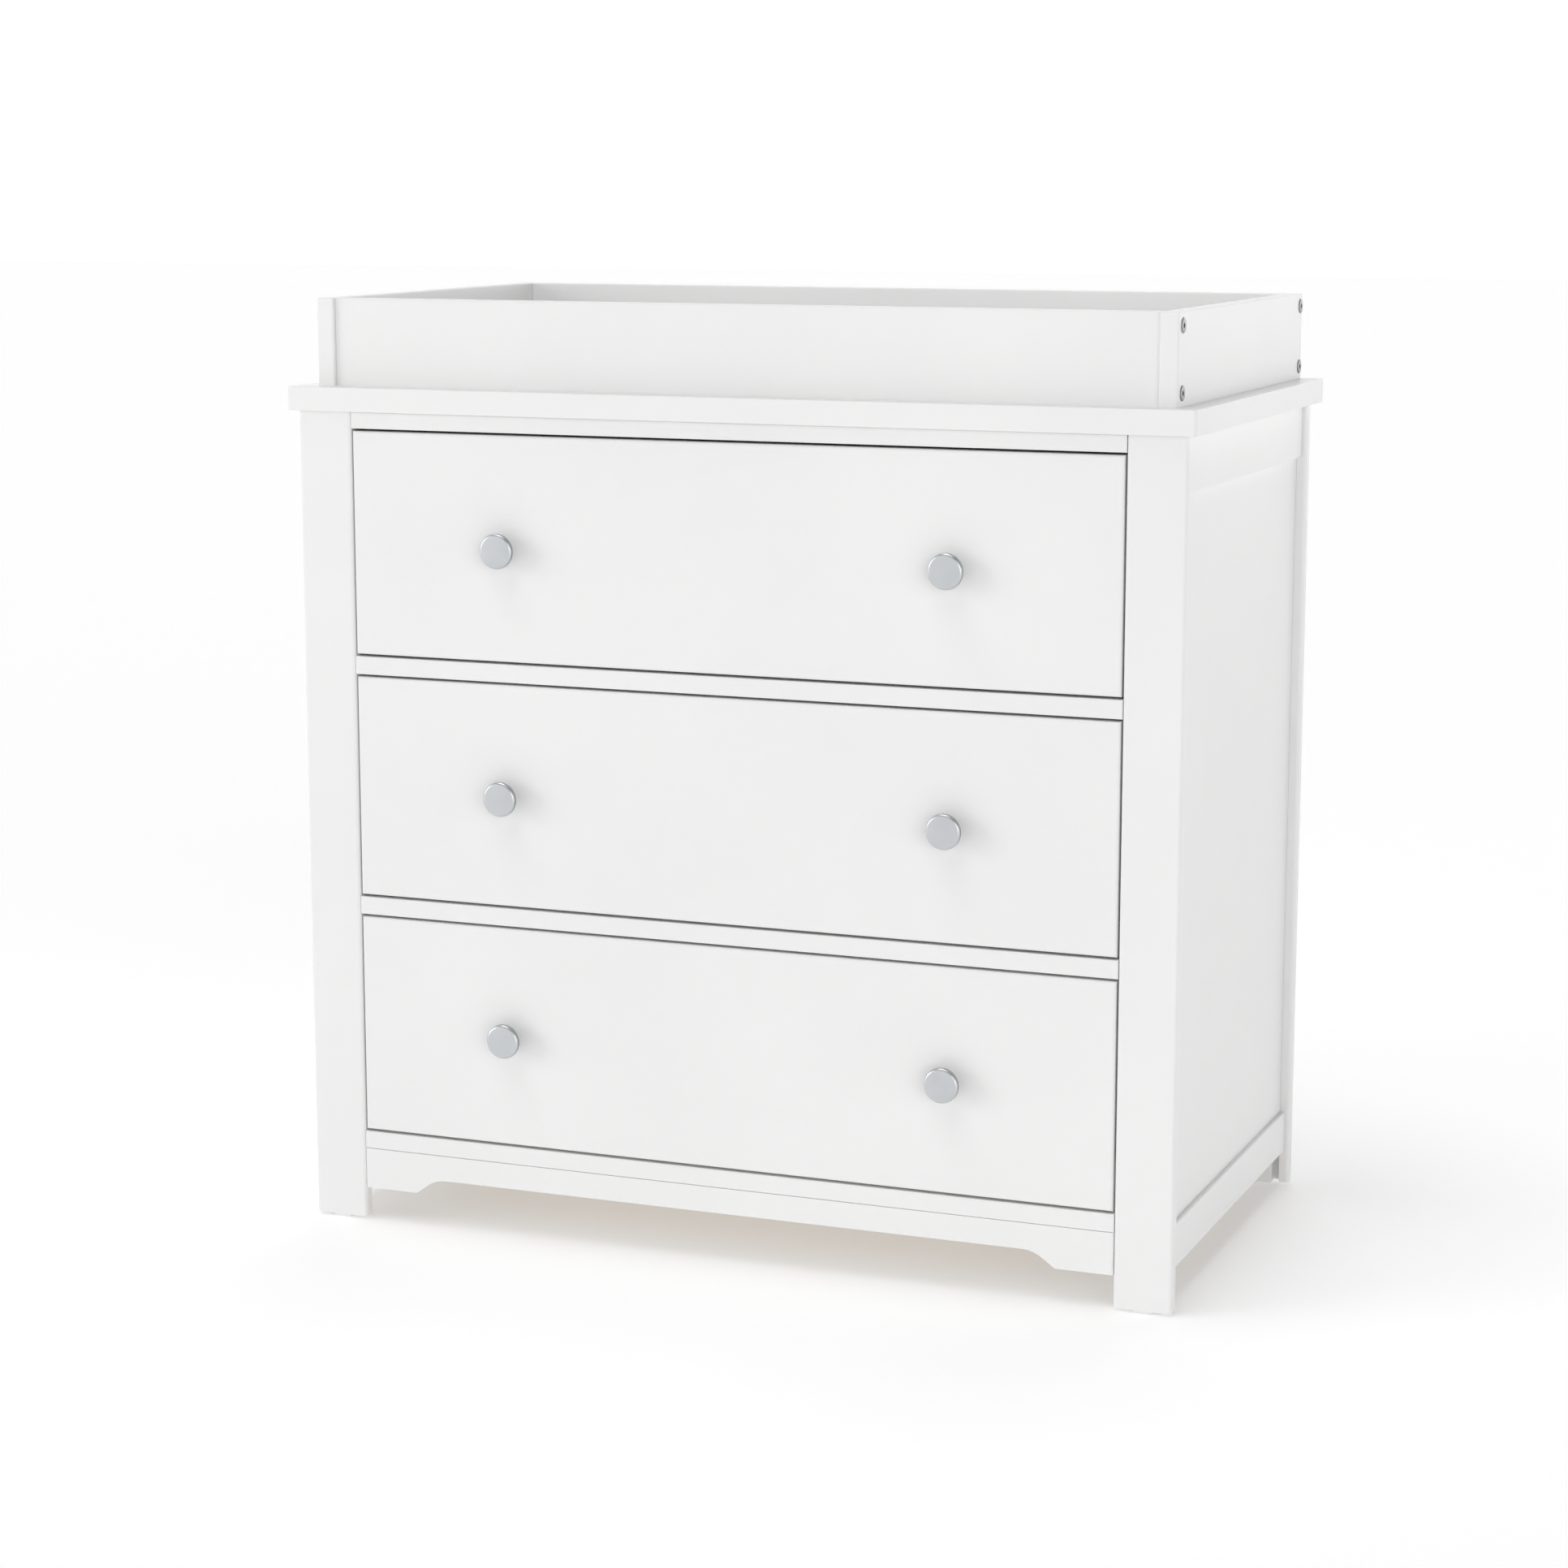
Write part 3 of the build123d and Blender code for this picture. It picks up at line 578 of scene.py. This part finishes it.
def turn_runner_screws(material):
    """The screws that hold each runner to the drawer's side and to the batten."""
    mesh = spin(pan_head_outline(
        RUNNER_SCREW_HEAD_RADIUS, RUNNER_SCREW_HEAD_HEIGHT, RUNNER_SCREW_RADIUS, RUNNER_SCREW_LENGTH
    ))
    for drawer in DRAWERS:
        low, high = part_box(f"{drawer}_drawer_inner_runners")
        middle = (low.z + high.z) / 2
        for side, sign in (("left", -1), ("right", 1)):
            drawer_face = max(abs(corner.x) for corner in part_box(f"{drawer}_drawer_{side}_side"))
            web = sign * (drawer_face + RUNNER_SHEET * MM)
            for number, y in enumerate(DRAWER_SCREWS, 1):
                turned(f"{drawer}_drawer_{side}_runner_screw_{number}", mesh,
                       (web, low.y + y * MM, middle), (sign, 0, 0), f"{drawer}_drawer",
                       material)
            batten_face = max(abs(corner.x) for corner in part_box(f"{side}_cabinet_runners"))
            web = sign * (batten_face - RUNNER_SHEET * MM)
            for number, y in enumerate(CABINET_SCREWS, 1):
                turned(f"{drawer}_{side}_cabinet_runner_screw_{number}", mesh,
                       (web, low.y + y * MM, middle), (-sign, 0, 0), "chest",
                       material)


def turn_screws():
    material = zinc_plate()
    turn_knob_screws(material)
    turn_runner_screws(material)


# --- Ball cages of the runners ------------------------------------------------

CAGE_LENGTH = 74
CAGE_INSET = 6           # from the middle member's front end
CAGE_SHEET = 0.5
BALL_RADIUS = 1.5
BALL_PITCH = 12
BALL_HEIGHT = 13.65      # of each row above or below the runner's middle
BALL_DEPTH = 8.2         # from the batten's face
FIRST_BALL = 0.6         # from the cage's end, in pitches
CAGE_DEPTHS = (4.3, 9.6)


def add_bar(build, low, high):
    """A bar between two corners."""
    low, high = Vector(low), Vector(high)
    size = Matrix.Diagonal((*(high - low), 1))
    bmesh.ops.create_cube(build, matrix=Matrix.Translation((low + high) / 2) @ size)


def ball_cage(name, batten_x, side, y, z, body, material):
    """A folded strip that holds two rows of balls between two runner members."""
    build = bmesh.new()
    web, lip = [batten_x - side * depth * MM for depth in CAGE_DEPTHS]
    sheet, row = CAGE_SHEET * MM, BALL_HEIGHT * MM
    back_of_web = web - side * sheet
    length = CAGE_LENGTH * MM
    add_bar(build, (min(web, back_of_web), y, z - row), (max(web, back_of_web), y + length, z + row))
    for row_z in (z - row, z + row):
        low = (min(web, lip), y, row_z - sheet / 2)
        high = (max(web, lip), y + length, row_z + sheet / 2)
        add_bar(build, low, high)
        for ball in range(int(CAGE_LENGTH / BALL_PITCH)):
            ball_y = y + (ball + FIRST_BALL) * BALL_PITCH * MM
            centre = (batten_x - side * BALL_DEPTH * MM, ball_y, row_z)
            bmesh.ops.create_icosphere(
                build, subdivisions=3, radius=BALL_RADIUS * MM, matrix=Matrix.Translation(centre)
            )
    mesh = bpy.data.meshes.new(name)
    build.to_mesh(mesh)
    build.free()
    mesh.shade_smooth()
    mesh.set_sharp_from_angle(angle=SHARP_ANGLE)
    mesh.materials.append(material)
    piece = bpy.data.objects.new(name, mesh)
    bpy.context.scene.collection.objects.link(piece)
    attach(piece, body)


def ball_cages():
    material = zinc_plate()
    for drawer in DRAWERS:
        low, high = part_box(f"{drawer}_drawer_telescopic_rails")
        for side, name in ((-1, "left"), (1, "right")):
            batten_x = side * max(abs(corner.x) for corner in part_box(f"{name}_cabinet_runners"))
            ball_cage(f"{drawer}_{name}_ball_cage", batten_x, side, low.y + CAGE_INSET * MM,
                      (low.z + high.z) / 2, f"{drawer}_telescopic_rails", material)


# --- Studio -------------------------------------------------------------------

FLOOR_SIZE = 60.0
FLOOR_WHITE = 0.80
FLOOR_GLOW = 0.30


def white_floor():
    """A plain white studio floor that glows a little, so its shadows stay pale."""
    look = Look("studio_floor")
    look.set(base_color=(FLOOR_WHITE,) * 3 + (1.0,), roughness=1.0, specular_ior_level=0.0)
    look.set(emission_color=(1.0, 1.0, 1.0, 1.0), emission_strength=FLOOR_GLOW)
    bpy.ops.mesh.primitive_plane_add(size=FLOOR_SIZE)
    floor = bpy.context.object
    floor.name = "studio_floor"
    floor.data.materials.append(look.material)


# Glowing bands of the studio's walls: the direction they face (or all round), their
# lower and upper limit as the sine of the elevation, and their strength.
WALL_BANDS = [
    (None, -1.0, 0.30, 1.0),
    ((X, -1), 0.30, 0.70, 0.7),
    ((X, 1), -1.0, 0.10, 1.0),
    ((Y, 1), -1.0, 0.10, 1.0),
    ((Y, 1), 0.0, 0.60, 0.7),
]


def studio_world():
    """White walls that glow in bands, under a dark ceiling."""
    world = bpy.data.worlds.new("studio")
    world.use_nodes = True
    tree = world.node_tree
    direction = tree.nodes.new("ShaderNodeSeparateXYZ")
    places = tree.nodes.new("ShaderNodeTexCoord")
    tree.links.new(places.outputs["Generated"], direction.inputs["Vector"])
    glow = 0.0
    for facing, low, high, strength in WALL_BANDS:
        above = math_node(tree, "GREATER_THAN", direction.outputs[Z], low)
        below = math_node(tree, "LESS_THAN", direction.outputs[Z], high)
        band = math_node(tree, "MULTIPLY", above, below)
        band = math_node(tree, "MULTIPLY", band, strength)
        if facing:
            axis, sign = facing
            share = math_node(tree, "MULTIPLY", direction.outputs[axis], sign)
            share = math_node(tree, "MAXIMUM", share, 0.0)
            band = math_node(tree, "MULTIPLY", band, share)
        glow = math_node(tree, "ADD", glow, band)
    tree.links.new(glow, tree.nodes["Background"].inputs["Strength"])
    tree.nodes["Background"].inputs["Color"].default_value = (1.0, 1.0, 1.0, 1.0)
    bpy.context.scene.world = world


# Soft distant lamps: the direction each one stands in, its strength and its width in degrees.
LAMPS = {
    "key": ((-0.80, -0.55, 0.20), 0.65, 30),
    "front_right": ((0.60, -0.75, 0.25), 0.60, 35),
    "overhead_left": ((-0.25, -0.15, 0.95), 0.70, 25),
    "overhead_front": ((0, -0.50, 0.85), 0.50, 30),
    "overhead_back": ((0, 0.35, 0.95), 0.60, 25),
}


def lamp(name, direction, strength, width):
    data = bpy.data.lights.new(name, "SUN")
    data.energy = strength
    data.angle = math.radians(width)
    light = bpy.data.objects.new(name, data)
    light.rotation_euler = Vector(direction).to_track_quat("Z", "Y").to_euler()
    bpy.context.scene.collection.objects.link(light)


def studio_light():
    bpy.context.scene.view_settings.view_transform = "Standard"
    studio_world()
    for name, settings in LAMPS.items():
        lamp(name, *settings)


# --- Camera -------------------------------------------------------------------

CAMERA_PLACE = (1.3504, -3.4906, 1.1248)
CAMERA_AZIMUTH = 21.59
CAMERA_DOWN = 10.05
CAMERA_LENS = 81.39
CAMERA_SENSOR = 36.0


def camera():
    data = bpy.data.cameras.new("camera")
    data.lens = CAMERA_LENS
    data.sensor_width = CAMERA_SENSOR
    made = bpy.data.objects.new("camera", data)
    made.location = CAMERA_PLACE
    made.rotation_euler = (math.radians(90 - CAMERA_DOWN), 0, math.radians(CAMERA_AZIMUTH))
    bpy.context.scene.collection.objects.link(made)
    bpy.context.scene.camera = made


# --- Scene --------------------------------------------------------------------

nickel = satin_nickel()
paint_cad(nickel)
turn_knobs(nickel)
turn_tray_bolts()
turn_screws()
ball_cages()
white_floor()
studio_light()
camera()
